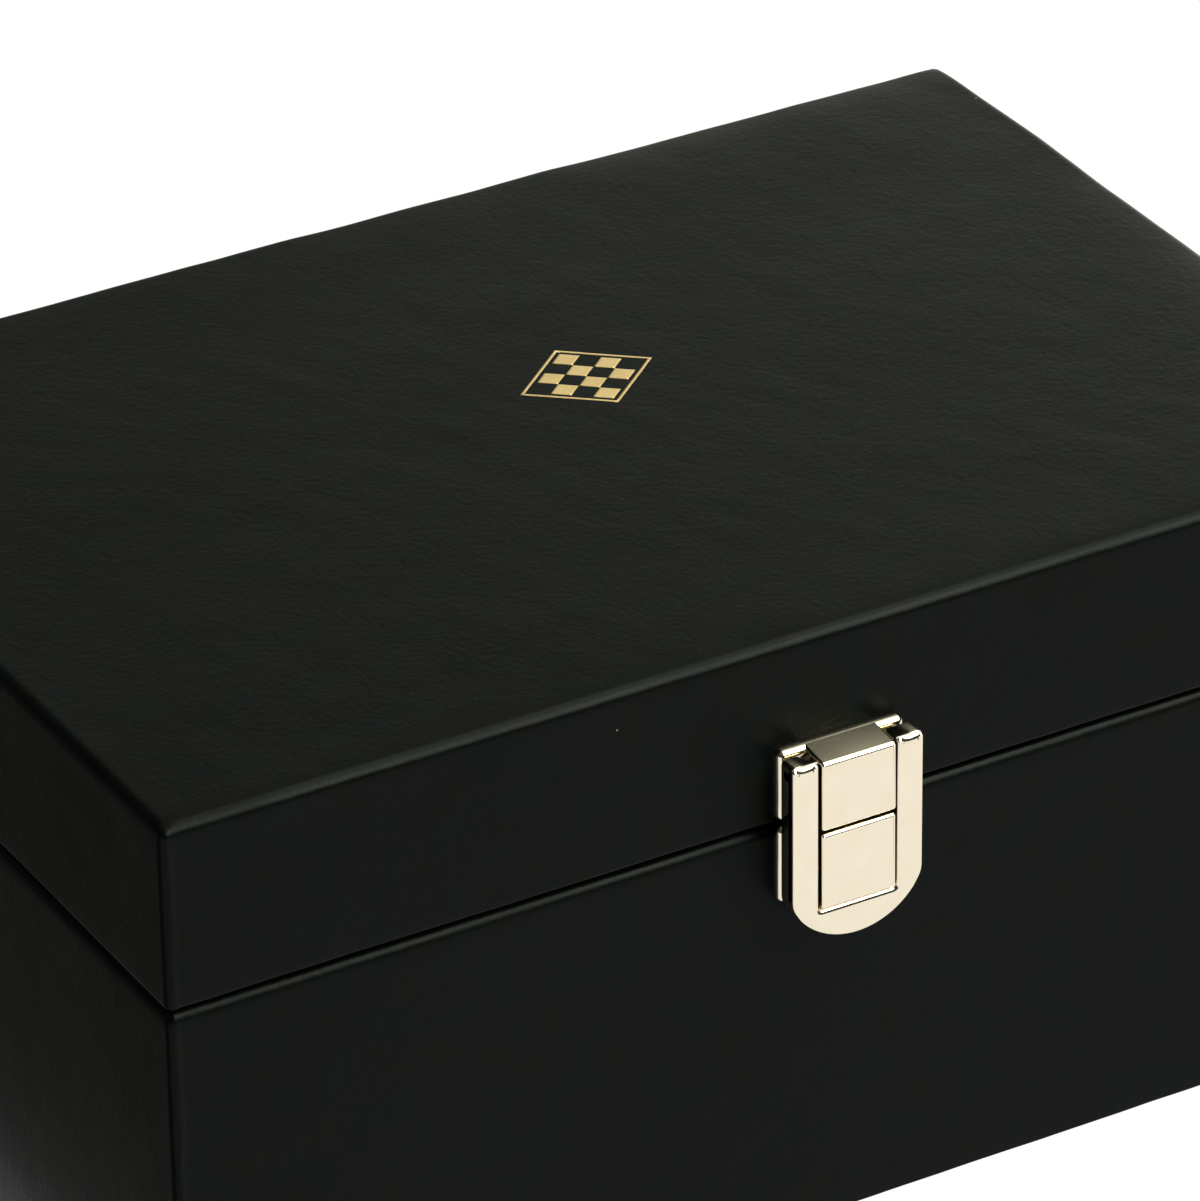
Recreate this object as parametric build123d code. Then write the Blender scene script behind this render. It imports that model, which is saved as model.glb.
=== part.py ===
"""Chess piece storage box: a board case covered in leatherette, with a hinged lid, a metal
snap catch, fixed slots in the bottom and a lift-out tray of slots above them.

Millimetres. +X is to the right of someone who faces the catch, +Y is to the back and +Z is
up. The origin is in the middle of the underside, on the surface that the box stands on.
"""
from build123d import *
import os

# Outside of the case
box_width = 295.0
box_depth = 200.0
box_height = 136.0
lid_height = 40.2
seam_gap = 0.4
corner_radius = 1.8
lid_edge_radius = 2.4
base_rim_radius = 2.0
lid_rim_radius = 0.7
foot_edge_radius = 0.5

# Materials of the case
skin_thickness = 0.8
board_thickness = 7.0
floor_board_thickness = 5.0
top_board_thickness = 5.0
foam_thickness = 2.4
foot_sheet_thickness = 1.0
foot_sheet_proud = 0.2
skin_turn_under = 14.0
lining_thickness = 1.0
lid_pad_thickness = 4.0

# Slots, in the bottom of the case and in the tray
divider_thickness = 3.0
divider_edge_radius = 1.1
slot_depth = 42.3
pawn_slot_length = 50.0
pawn_slot_count = 8
piece_slot_count = 6

# Lift-out tray
tray_clearance = 1.0
tray_seat_gap = 0.3
tray_rim_drop = 0.3
tray_floor_thickness = 3.0
tray_wall_thickness = 3.0
ribbon_width = 16.0
ribbon_thickness = 0.5
ribbon_hang = 14.0
ribbon_loop_height = 6.0

# Catch: places along Z are heights over the floor, and reach is the distance that a face
# stands in front of the case
catch_plate_width = 28.8
catch_plate_thickness = 1.8
catch_plate_edge = 0.8
lower_plate_height = 16.9
lower_plate_drop = 0.4
upper_plate_height = 15.8
upper_plate_lift = 0.6
catch_block_width = 16.8
catch_block_edge = 0.9
catch_seam_gap = 0.9
lower_block_lift = 0.2
catch_block_reach = 8.2
upper_block_drop = 1.0
upper_block_rise = 1.0
flap_width = 29.7
flap_reach = 7.8
flap_thickness = 4.5
flap_edge = 0.7
flap_top_edge = 1.3
flap_window_gap = 0.6
flap_top_drop = 0.5
flap_drop = 41.4
flap_bow_radius = 16.4
flap_bow_corner = 4.0
flap_bar_wall = 1.0
flap_sill_gap = 0.3
flap_pin_reach = 5.2
flap_pin_below_top = 2.6
flap_pin_radius = 1.0
running_clearance = 0.05

# Snap spring inside the flap
spring_width = 11.0
spring_thickness = 0.4
spring_height = 4.2
spring_hook_length = 1.8
spring_gap = 0.4
rivet_radius = 0.7
rivet_head_radius = 1.2
rivet_head_height = 0.5
rivet_spacing = 7.0
rivet_depth = 0.5
rivet_below_middle = 0.3

# Nails of the catch plates
nail_radius = 0.7
nail_head_radius = 1.5
nail_head_height = 0.7
nail_length = 5.5
nail_inset = 3.0

# Back hinges
hinge_length = 38.0
hinge_inset = 62.5
hinge_leaf_height = 15.0
hinge_leaf_thickness = 1.0
hinge_knuckle_radius = 2.0
hinge_knuckle_gap = 0.2
hinge_knuckles = 5
hinge_pin_radius = 1.0
hinge_notch_clearance = 0.3
hinge_opening = 95.0
hinge_stop_gap = 0.1
hinge_stop_width = 1.9
screw_radius = 1.1
screw_head_radius = 2.1
screw_head_height = 0.9
screw_length = 6.8
screw_spacing = 28.0
screw_edge_land = 1.6

# Gold foil on the lid, a chequered lozenge
foil_width = 31.0
foil_depth = 26.0
foil_centre = (9.0, 13.0)
foil_thickness = 0.1
foil_cells = 4
foil_border = 0.8
foil_border_gap = 1.0
foil_cell_share = 0.97

# Room by which a cutting block passes the faces that it cuts, and a length within which two
# places count as one
cutter_margin = 1.0
same_place = 0.1

# Heights that follow from the sizes above
lid_bottom = box_height - lid_height
base_top = lid_bottom - seam_gap
skin_bottom = foot_sheet_proud
board_bottom = skin_bottom + skin_thickness
base_board_top = base_top - skin_thickness
floor_board_top = board_bottom + floor_board_thickness
floor_lining_top = floor_board_top + lining_thickness
lower_slot_top = floor_lining_top + slot_depth
lid_board_bottom = lid_bottom + skin_thickness
foam_top = box_height - skin_thickness
top_board_top = foam_top - foam_thickness
top_board_bottom = top_board_top - top_board_thickness
lid_ceiling = top_board_bottom - lid_pad_thickness
tray_bottom = lower_slot_top + tray_seat_gap
tray_top = base_top - tray_rim_drop
tray_floor_top = tray_bottom + tray_floor_thickness
tray_lining_top = tray_floor_top + lining_thickness

# Half sizes of the case's layers, from the outside in
front = -box_depth / 2
back = box_depth / 2
board_x = box_width / 2 - skin_thickness
board_y = box_depth / 2 - skin_thickness
cavity_x = board_x - board_thickness
cavity_y = board_y - board_thickness
lined_x = cavity_x - lining_thickness
lined_y = cavity_y - lining_thickness
tray_x = lined_x - tray_clearance
tray_y = lined_y - tray_clearance
tray_inner_x = tray_x - tray_wall_thickness
tray_inner_y = tray_y - tray_wall_thickness

os.makedirs("parts", exist_ok=True)


def block(x0, x1, y0, y1, z0, z1):
    """Return the plain block between two corners."""
    middle = Pos((x0 + x1) / 2, (y0 + y1) / 2, (z0 + z1) / 2)
    return middle * Box(x1 - x0, y1 - y0, z1 - z0)


def centred(half_x, half_y, z0, z1):
    """Return a block centred over the origin."""
    return block(-half_x, half_x, -half_y, half_y, z0, z1)


def cylinder_x(radius, x0, x1, y, z):
    """Return a round bar along X."""
    return Pos((x0 + x1) / 2, y, z) * Rot(0, 90, 0) * Cylinder(radius, x1 - x0)


def cylinder_y(radius, x, y0, y1, z):
    """Return a round bar along Y."""
    return Pos(x, (y0 + y1) / 2, z) * Rot(90, 0, 0) * Cylinder(radius, y1 - y0)


def case_form(half_x, half_y, z0, z1, upright, top_edge, bottom_edge):
    """Return a block with rounded upright corners and rounded top and bottom edges."""
    form = centred(half_x, half_y, z0, z1)
    form = fillet(form.edges().filter_by(Axis.Z), upright)
    if top_edge > 0:
        form = fillet(form.faces().sort_by(Axis.Z)[-1].edges(), top_edge)
    if bottom_edge > 0:
        form = fillet(form.faces().sort_by(Axis.Z)[0].edges(), bottom_edge)
    return form


def write(shape, name):
    """Write one node's solids."""
    solids = shape.solids() if not isinstance(shape, list) else shape
    export_step(Compound(children=list(solids)) if len(solids) > 1 else solids[0], f"parts/{name}.step")


def cut_all(shape, tools):
    """Cut every tool from a shape."""
    for tool in tools:
        shape = shape - tool
    return shape


# Places of the hinges' and catch's fasteners, which the boards and the covering are bored for
hinge_axis_y = back + hinge_knuckle_radius + hinge_knuckle_gap
hinge_axis_z = base_top + seam_gap / 2
hinge_centres = (-box_width / 2 + hinge_inset, box_width / 2 - hinge_inset)
base_screw_z = hinge_axis_z - hinge_leaf_height + screw_head_radius + screw_edge_land
lid_screw_z = 2 * hinge_axis_z - base_screw_z
catch_plate_half = catch_plate_width / 2
nail_x = catch_plate_half - nail_inset
lower_plate_top = base_top - lower_plate_drop
lower_plate_bottom = lower_plate_top - lower_plate_height
upper_plate_bottom = lid_bottom + upper_plate_lift
upper_plate_top = upper_plate_bottom + upper_plate_height
lower_nail_z = (lower_plate_bottom + lower_plate_top) / 2
upper_nail_z = (upper_plate_bottom + upper_plate_top) / 2


def screw(x, z):
    """Return a countersunk screw driven forward through a hinge leaf into the back board."""
    face = back + hinge_leaf_thickness
    head = Pos(x, face - screw_head_height / 2, z) * Rot(90, 0, 0) * Cone(
        screw_head_radius, screw_radius, screw_head_height)
    return head + cylinder_y(screw_radius, x, face - screw_length, face - screw_head_height, z)


def nail(x, z):
    """Return a round-headed nail driven through a catch plate into the front board."""
    face = front - catch_plate_thickness
    head = cylinder_y(nail_head_radius, x, face - nail_head_height, face, z)
    return head + cylinder_y(nail_radius, x, face, face + nail_length, z)


screw_xs = [c + side * screw_spacing / 2 for c in hinge_centres for side in (-1, 0, 1)]
base_screws = [screw(x, base_screw_z) for x in screw_xs]
lid_screws = [screw(x, lid_screw_z) for x in screw_xs]
lower_nails = [nail(side * nail_x, lower_nail_z) for side in (-1, 1)]
upper_nails = [nail(side * nail_x, upper_nail_z) for side in (-1, 1)]

# Base: four wall boards, with the side boards between the front and back ones
base_core = case_form(board_x, board_y, board_bottom, base_board_top,
                      corner_radius - skin_thickness, base_rim_radius - skin_thickness, 0)
base_walls = base_core - centred(cavity_x, cavity_y, 0, box_height)
base_front_board = base_walls & block(-board_x, board_x, -board_y, -cavity_y, 0, box_height)
base_back_board = base_walls & block(-board_x, board_x, cavity_y, board_y, 0, box_height)
base_left_board = base_walls & block(-board_x, -cavity_x, -cavity_y, cavity_y, 0, box_height)
base_right_board = base_walls & block(cavity_x, board_x, -cavity_y, cavity_y, 0, box_height)
write(cut_all(base_front_board, lower_nails), "base_front_board")
write(cut_all(base_back_board, base_screws), "base_back_board")
write(base_left_board, "base_left_board")
write(base_right_board, "base_right_board")
write(centred(cavity_x, cavity_y, board_bottom, floor_board_top), "base_bottom_board")

# Base covering: one sheet round the outside, over the rim and turned under the bottom
base_outside = case_form(box_width / 2, box_depth / 2, skin_bottom, base_top,
                         corner_radius, base_rim_radius, foot_edge_radius)
foot_window_x = box_width / 2 - skin_turn_under
foot_window_y = box_depth / 2 - skin_turn_under
base_leatherette = base_outside - base_core
base_leatherette = base_leatherette - centred(cavity_x, cavity_y, floor_board_top, box_height)
base_leatherette = base_leatherette - centred(foot_window_x, foot_window_y, 0, board_bottom)
write(cut_all(base_leatherette, base_screws + lower_nails), "base_leatherette")
write(centred(foot_window_x, foot_window_y, 0, foot_sheet_thickness), "base_foot_sheet")

# Base lining: a covered card on the floor and one on each wall, up to the rim's covering
write(centred(cavity_x, cavity_y, floor_board_top, floor_lining_top), "base_floor_lining")
write(centred(cavity_x, cavity_y, floor_lining_top, base_board_top)
      - centred(lined_x, lined_y, floor_lining_top, base_board_top), "base_wall_lining")


def rounded_wall(x0, x1, y0, y1, z0, z1):
    """Return a covered divider with its two long top edges rounded."""
    wall = block(x0, x1, y0, y1, z0, z1)
    along = Axis.X if x1 - x0 > y1 - y0 else Axis.Y
    return fillet(wall.edges().filter_by(along).group_by(Axis.Z)[-1], divider_edge_radius)


def row_of_dividers(count, half_x, y0, y1, z0, z1):
    """Return the dividers that split a row into equal slots."""
    slot = (2 * half_x - (count - 1) * divider_thickness) / count
    starts = [-half_x + (n + 1) * slot + n * divider_thickness for n in range(count - 1)]
    return [rounded_wall(x, x + divider_thickness, y0, y1, z0, z1) for x in starts]


def write_slots(prefix, half_x, half_y, z0, z1):
    """Write one layer's long divider, its pawn dividers and its piece dividers."""
    split = -half_y + pawn_slot_length
    write(rounded_wall(-half_x, half_x, split, split + divider_thickness, z0, z1),
          f"{prefix}_long_divider")
    write(row_of_dividers(pawn_slot_count, half_x, -half_y, split, z0, z1),
          f"{prefix}_pawn_dividers")
    write(row_of_dividers(piece_slot_count, half_x, split + divider_thickness, half_y, z0, z1),
          f"{prefix}_piece_dividers")


write_slots("lower", lined_x, lined_y, floor_lining_top, lower_slot_top)

# Tray: a floor board, four walls, its lining, its dividers and a ribbon loop at each end
write(centred(tray_x, tray_y, tray_bottom, tray_floor_top), "tray_floor_board")
write(rounded_wall(-tray_x, tray_x, -tray_y, -tray_inner_y, tray_floor_top, tray_top),
      "tray_front_wall")
write(rounded_wall(-tray_x, tray_x, tray_inner_y, tray_y, tray_floor_top, tray_top),
      "tray_back_wall")
write(rounded_wall(-tray_x, -tray_inner_x, -tray_inner_y, tray_inner_y, tray_floor_top, tray_top),
      "tray_left_wall")
write(rounded_wall(tray_inner_x, tray_x, -tray_inner_y, tray_inner_y, tray_floor_top, tray_top),
      "tray_right_wall")
write(centred(tray_inner_x, tray_inner_y, tray_floor_top, tray_lining_top), "tray_floor_lining")
write_slots("tray", tray_inner_x, tray_inner_y, tray_lining_top, tray_top)


def ribbon_loop(side):
    """Return a pull ribbon folded over the middle of the tray's end wall."""
    outer = tray_x + ribbon_thickness
    inner = tray_inner_x - ribbon_thickness
    middle = (tray_x + tray_inner_x) / 2
    half = (outer - inner) / 2
    crest = tray_top + ribbon_loop_height
    y0 = tray_inner_y - (tray_inner_y + tray_inner_y - pawn_slot_length) / 2
    y0 = y0 - ribbon_width / 2

    def hoop(shell, crest_z):
        leg = block(middle - shell, middle + shell, y0, y0 + ribbon_width,
                    tray_top - ribbon_hang, crest_z - shell)
        bow = Pos(middle, y0 + ribbon_width / 2, crest_z - shell) * Rot(90, 0, 0) * Cylinder(
            shell, ribbon_width)
        return leg + bow

    loop = hoop(half, crest) - hoop(half - ribbon_thickness, crest - ribbon_thickness)
    return loop if side > 0 else mirror(loop, about=Plane.YZ)


write(ribbon_loop(-1), "tray_left_ribbon")
write(ribbon_loop(1), "tray_right_ribbon")

# Lid: four wall boards under a top board, and a thin foam pad on that
lid_core = case_form(board_x, board_y, lid_board_bottom, foam_top,
                     corner_radius - skin_thickness, lid_edge_radius - skin_thickness, 0)
lid_walls = lid_core & centred(board_x, board_y, lid_board_bottom, top_board_bottom)
lid_walls = lid_walls - centred(cavity_x, cavity_y, 0, box_height)
lid_front_board = lid_walls & block(-board_x, board_x, -board_y, -cavity_y, 0, box_height)
lid_back_board = lid_walls & block(-board_x, board_x, cavity_y, board_y, 0, box_height)
write(cut_all(lid_front_board, upper_nails), "lid_front_board")
write(cut_all(lid_back_board, lid_screws), "lid_back_board")
write(block(-board_x, -cavity_x, -cavity_y, cavity_y, lid_board_bottom, top_board_bottom),
      "lid_left_board")
write(block(cavity_x, board_x, -cavity_y, cavity_y, lid_board_bottom, top_board_bottom),
      "lid_right_board")
write(lid_core & centred(board_x, board_y, top_board_bottom, top_board_top), "lid_top_board")
write(lid_core & centred(board_x, board_y, top_board_top, foam_top), "lid_foam_pad")
write(centred(cavity_x, cavity_y, lid_board_bottom, lid_ceiling)
      - centred(lined_x, lined_y, lid_board_bottom, lid_ceiling), "lid_wall_lining")
write(centred(cavity_x, cavity_y, lid_ceiling, top_board_bottom), "lid_lining_pad")


def lozenge(half_x, half_y, cx, cy):
    """Return a thin lozenge that lies in the top of the lid."""
    outline = Polygon((half_x, 0), (0, half_y), (-half_x, 0), (0, -half_y), align=None)
    return Pos(cx, cy, box_height - foil_thickness) * extrude(outline, foil_thickness)


def foil_pieces():
    """Return the border and the gold cells of the chequered lozenge."""
    cx, cy = foil_centre
    half_x = foil_width / 2
    half_y = foil_depth / 2
    slope = half_y / half_x
    border = (lozenge(half_x, half_y, cx, cy)
              - lozenge(half_x - foil_border / slope, half_y - foil_border, cx, cy))
    field_x = half_x - (foil_border + foil_border_gap) / slope
    field_y = half_y - (foil_border + foil_border_gap)
    cell_x = field_x / foil_cells
    cell_y = field_y / foil_cells
    cells = []
    for i in range(foil_cells):
        for j in range(foil_cells):
            if (i + j) % 2 == 0:
                x = cx + (i - j) * cell_x
                y = cy + (i + j + 1 - foil_cells) * cell_y
                cells.append(lozenge(foil_cell_share * cell_x, foil_cell_share * cell_y, x, y))
    return border.solids() + cells


foil = foil_pieces()
write(foil, "lid_foil_lozenge")

# Lid covering: one sheet over the top, down the sides and round the rim
lid_outside = case_form(box_width / 2, box_depth / 2, lid_bottom, box_height,
                        corner_radius, lid_edge_radius, lid_rim_radius)
lid_leatherette = lid_outside - lid_core - centred(cavity_x, cavity_y, 0, top_board_bottom)
write(cut_all(lid_leatherette, lid_screws + upper_nails + list(foil)), "lid_leatherette")


# Catch: one plate with a block on it for the base, and one for the lid
def catch_plate(z0, z1, block_z0, block_z1, back_rise):
    """Return a plate and its block, whose top may slope up towards the case."""
    plate = block(-catch_plate_half, catch_plate_half, front - catch_plate_thickness, front, z0, z1)
    front_edges = plate.faces().sort_by(Axis.Y)[0].edges()
    plate = fillet(front_edges, catch_plate_edge)
    half = catch_block_width / 2
    face = front - catch_block_reach
    side = Polyline((front, block_z0), (face, block_z0), (face, block_z1),
                    (front, block_z1 + back_rise), (front, block_z0))
    profile = Plane.YZ * make_face(side)
    body = extrude(Pos(-half, 0, 0) * profile, catch_block_width)
    top_front = body.edges().filter_by(Axis.X).sort_by(
        lambda e: e.center().Z - e.center().Y)[-1]
    body = fillet(top_front, catch_block_edge)
    return plate + body


block_seam = (base_top + lid_bottom) / 2
lower_block_top = block_seam - catch_seam_gap / 2
lower_block_bottom = lower_plate_bottom + lower_block_lift
upper_block_bottom = block_seam + catch_seam_gap / 2
upper_block_top = upper_plate_top - upper_block_drop
flap_pin_z = upper_plate_top - flap_top_drop - flap_pin_below_top
flap_pin_y = front - flap_pin_reach
block_half = catch_block_width / 2
flap_half = flap_width / 2

latch_lower_plate = catch_plate(lower_plate_bottom, lower_plate_top, lower_block_bottom,
                                lower_block_top, 0)
write(cut_all(latch_lower_plate, lower_nails), "latch_lower_plate")
latch_upper_plate = catch_plate(upper_plate_bottom, upper_plate_top, upper_block_bottom,
                                upper_block_top, upper_block_rise)
pin_bore = cylinder_x(flap_pin_radius, -block_half - cutter_margin, block_half + cutter_margin,
                      flap_pin_y, flap_pin_z)
write(cut_all(latch_upper_plate, upper_nails) - pin_bore, "latch_upper_plate")
write(lower_nails, "latch_lower_nails")
write(upper_nails, "latch_upper_nails")
write(cylinder_x(flap_pin_radius, -flap_half, flap_half, flap_pin_y, flap_pin_z), "latch_pin")

# Flap: a frame open at the top, hung on the pin, with a bow at its lower end
flap_top = upper_plate_top - flap_top_drop
flap_bottom = flap_top - flap_drop
flap_sill = lower_block_bottom - flap_sill_gap
window_half = block_half + flap_window_gap
flap_front_y = front - flap_reach
flap_back_y = flap_front_y + flap_thickness


def flap_outline():
    """Return the flap's face: straight sides, small corners and one wide bow below."""
    bow_centre_z = flap_bottom + flap_bow_radius
    bow = Pos(0, bow_centre_z) * Circle(flap_bow_radius)
    sides = Pos(0, (flap_top + flap_bottom) / 2) * Rectangle(flap_width, flap_top - flap_bottom)
    upper = Pos(0, (flap_top + bow_centre_z) / 2) * Rectangle(
        flap_width, flap_top - bow_centre_z)
    face = (bow & sides) + upper
    face = face.faces()[0]
    corners = [v for v in face.vertices() if v.Y < bow_centre_z and abs(v.X) > flap_half - same_place]
    return fillet(corners, flap_bow_corner) if corners else face


flap_face = Plane.XZ.offset(-flap_back_y) * flap_outline()
flap_slab = extrude(flap_face, flap_thickness)
flap_slab = fillet(flap_slab.faces().sort_by(Axis.Y)[0].edges().filter_by(
    lambda e: e.center().Z < flap_top - same_place), flap_edge)
window = block(-window_half, window_half, flap_front_y - cutter_margin,
               flap_back_y + cutter_margin, flap_sill, box_height)
channel = block(-window_half, window_half, flap_front_y + flap_bar_wall,
                flap_back_y + cutter_margin, flap_bottom - cutter_margin, flap_sill)
flap = flap_slab - window - channel
ear_tops = flap.faces().sort_by(Axis.Z)[-2:]
ear_front_edges = [f.edges().filter_by(Axis.X).sort_by(Axis.Y)[0] for f in ear_tops]
flap = fillet(ear_front_edges, flap_top_edge)
flap_bore = cylinder_x(flap_pin_radius + running_clearance, -flap_half - cutter_margin,
                       flap_half + cutter_margin, flap_pin_y, flap_pin_z)

# Snap spring: a leaf riveted inside the bar, whose lip catches under the lower block
spring_y = flap_front_y + flap_bar_wall
spring_top = lower_block_bottom - spring_gap
spring_leaf = block(-spring_width / 2, spring_width / 2, spring_y, spring_y + spring_thickness,
                    spring_top - spring_height, spring_top)
spring_lip = block(-spring_width / 2, spring_width / 2, spring_y, spring_y + spring_hook_length,
                   spring_top - spring_thickness, spring_top)
rivet_z = spring_top - spring_height / 2 - rivet_below_middle


def rivet(x):
    """Return a small rivet, headed behind the leaf and closed in the bar's wall."""
    head_y = spring_y + spring_thickness
    head = cylinder_y(rivet_head_radius, x, head_y, head_y + rivet_head_height, rivet_z)
    return head + cylinder_y(rivet_radius, x, spring_y - rivet_depth, head_y, rivet_z)


rivets = [rivet(side * rivet_spacing / 2) for side in (-1, 1)]
flap_solid = cut_all(flap - flap_bore, rivets)
write(flap_solid, "latch_flap")
write(cut_all(spring_leaf + spring_lip, rivets), "latch_snap_spring")
write(rivets, "latch_spring_rivets")


# Hinges: two leaves on the back, rolled into knuckles round one pin, with a stop heel
def hinge_leaf(centre, on_lid):
    """Return one leaf of a hinge with its own knuckles."""
    left = centre - hinge_length / 2
    pitch = hinge_length / hinge_knuckles
    direction = 1 if on_lid else -1
    far = hinge_axis_z + direction * hinge_leaf_height
    notch = hinge_axis_z + direction * (hinge_knuckle_radius + hinge_notch_clearance)
    leaf = block(left, left + hinge_length, back, back + hinge_leaf_thickness,
                 min(far, notch), max(far, notch))
    bore = hinge_pin_radius + (running_clearance if on_lid else 0)
    for n in range(hinge_knuckles):
        if (n % 2 == 1) == on_lid:
            x0 = left + n * pitch + running_clearance
            x1 = left + (n + 1) * pitch - running_clearance
            leaf = leaf + block(x0, x1, back, back + hinge_leaf_thickness,
                                min(notch, hinge_axis_z), max(notch, hinge_axis_z))
            leaf = leaf + cylinder_x(hinge_knuckle_radius, x0, x1, hinge_axis_y, hinge_axis_z)
            if on_lid:
                leaf = leaf + stop_heel(x0, x1)
    return leaf - cylinder_x(bore, left - cutter_margin, left + hinge_length + cutter_margin,
                             hinge_axis_y, hinge_axis_z)


def stop_heel(x0, x1):
    """Return the heel that meets the base leaf when the lid is fully open."""
    face = back + hinge_leaf_thickness + hinge_stop_gap - hinge_axis_y
    heel = block(x0, x1, face, face + hinge_stop_width, -2 * hinge_knuckle_radius, 0)
    return Pos(0, hinge_axis_y, hinge_axis_z) * Rot(hinge_opening, 0, 0) * heel


for centre, side in zip(hinge_centres, ("left", "right")):
    write(cut_all(hinge_leaf(centre, False), base_screws), f"{side}_hinge_base_leaf")
    write(cut_all(hinge_leaf(centre, True), lid_screws), f"{side}_hinge_lid_leaf")
    write(cylinder_x(hinge_pin_radius, centre - hinge_length / 2, centre + hinge_length / 2,
                     hinge_axis_y, hinge_axis_z), f"{side}_hinge_pin")
write(base_screws, "base_hinge_screws")
write(lid_screws, "lid_hinge_screws")
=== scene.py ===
"""The looks of a chess piece storage box: black leatherette over board, with a plated snap
catch, a gold foil lozenge on the lid and red velour inside."""
import math

import bmesh
import bpy
import numpy as np
from mathutils import Matrix, Vector


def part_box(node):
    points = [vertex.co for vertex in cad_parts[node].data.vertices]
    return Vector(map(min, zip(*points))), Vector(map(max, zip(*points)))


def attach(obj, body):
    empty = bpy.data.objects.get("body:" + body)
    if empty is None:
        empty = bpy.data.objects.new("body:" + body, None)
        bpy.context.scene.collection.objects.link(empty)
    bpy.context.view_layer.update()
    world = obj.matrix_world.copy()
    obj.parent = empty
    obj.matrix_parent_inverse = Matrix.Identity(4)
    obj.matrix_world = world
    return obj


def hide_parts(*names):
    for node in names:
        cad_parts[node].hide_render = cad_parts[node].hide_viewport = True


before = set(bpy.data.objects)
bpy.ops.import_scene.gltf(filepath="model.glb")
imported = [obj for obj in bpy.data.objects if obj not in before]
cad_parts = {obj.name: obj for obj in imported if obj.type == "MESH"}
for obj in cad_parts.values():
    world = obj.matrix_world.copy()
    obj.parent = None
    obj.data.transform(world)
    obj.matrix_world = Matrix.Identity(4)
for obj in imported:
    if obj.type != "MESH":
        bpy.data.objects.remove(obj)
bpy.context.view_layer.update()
scene = bpy.context.scene
MM = 0.001

# The stand
# A white table top in soft studio light: a panel in front, a softbox overhead, a glowing
# backdrop behind, which gives the lid its sheen, and a dimly glowing grey card at the left, in a
# dim room. The card's glow, brighter towards the case, is painted light that stands in for a lit
# grey card, and it keeps that end dark.
# The camera sees the table top and plain white.
scene.view_settings.view_transform = "Standard"
WHITE = (1.0, 1.0, 1.0, 1.0)
ROOM_STOPS = ((0.15, 0.03), (0.5, 0.06), (1.0, 0.10))
LAMP_COLOUR = (0.98, 1.0, 0.86)
FLOOR_SIDE = (-3.0, 3.0)
FLOOR_ALBEDO = 0.86
FLOOR_WHITE = 1.05
FLOOR_WHITE_SHARE = 0.9
# The grey card's painted glow: where it lies, and how brightly it glows along X, more towards the
# case.
CARD_X = (-0.9, -0.156)
CARD_Y = (-0.12, 0.60)
CARD_HEIGHT = 0.001
CARD_MOST = 0.18
CARD_STOPS = ((0.0, 0.45), (0.75, 0.55), (0.93, 0.80), (1.0, 1.0))
SOFTBOX_X = (0.2, 0.9)
SOFTBOX_Y = (-1.3, 0.95)
SOFTBOX_HEIGHT = 1.16
SOFTBOX_MOST = 8.5
SOFTBOX_STOPS = ((0.0, 0.05), (0.18, 0.25), (0.36, 0.60), (0.53, 0.62), (0.71, 0.43),
                 (0.87, 0.17), (1.0, 0.05))
BACKDROP_X = (-0.7, 1.1)
BACKDROP_Y = 0.62
BACKDROP_TOP = 0.95
BACKDROP_GLOW = 0.42
BACKDROP_MOST = 1.8
BACKDROP_BRIGHT_TOP = 0.42
BACKDROP_FADE = 0.105
BACKDROP_SPREAD = 0.50
PANEL_PLACE = Vector((0.57, -0.74, 1.00))
PANEL_TARGET = Vector((0.05, -0.1, 0.12))
PANEL_ALONG = Vector((0, 1, 0))
PANEL_WIDTH = 0.50
PANEL_LENGTH = 0.95
PANEL_RADIANCE = 11.5


def linear(hex_colour):
    """Turn an sRGB hex colour to linear red, green, blue and alpha."""
    srgb = np.array([int(hex_colour[i:i + 2], 16) for i in (0, 2, 4)]) / 255
    rgb = np.where(srgb <= 0.04045, srgb / 12.92, ((srgb + 0.055) / 1.055) ** 2.4)
    return (*rgb, 1.0)


def add(tree, kind, sockets=None, **settings):
    """Add one node. Settings are its properties, sockets its inputs, by name or number. Each
    socket is given a value, a colour in sRGB hex, one output to link from, or a node whose
    first output in use it links from."""
    made = tree.nodes.new(kind)
    for name, value in settings.items():
        setattr(made, name, value)
    for name, value in (sockets or {}).items():
        if isinstance(value, str):
            value = linear(value)
        if isinstance(value, bpy.types.Node):
            value = next(output for output in value.outputs if output.enabled)
        if isinstance(value, bpy.types.NodeSocket):
            tree.links.new(value, made.inputs[name])
        else:
            made.inputs[name].default_value = value
    return made


def new_material(name):
    """Return a new material, its empty node tree and its place in Object coordinates."""
    material = bpy.data.materials.new(name)
    material.use_nodes = True
    tree = material.node_tree
    tree.nodes.clear()
    return material, tree, add(tree, "ShaderNodeTexCoord").outputs["Object"]


def grey(level):
    """A neutral colour."""
    return (level, level, level, 1.0)


def set_stops(levels, stops):
    """Give a colour ramp its greys. Each stop is a position and a level."""
    first, last = levels.color_ramp.elements
    first.position, last.position = stops[0][0], stops[-1][0]
    first.color, last.color = grey(stops[0][1]), grey(stops[-1][1])
    for position, level in stops[1:-1]:
        levels.color_ramp.elements.new(position).color = grey(level)


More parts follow.
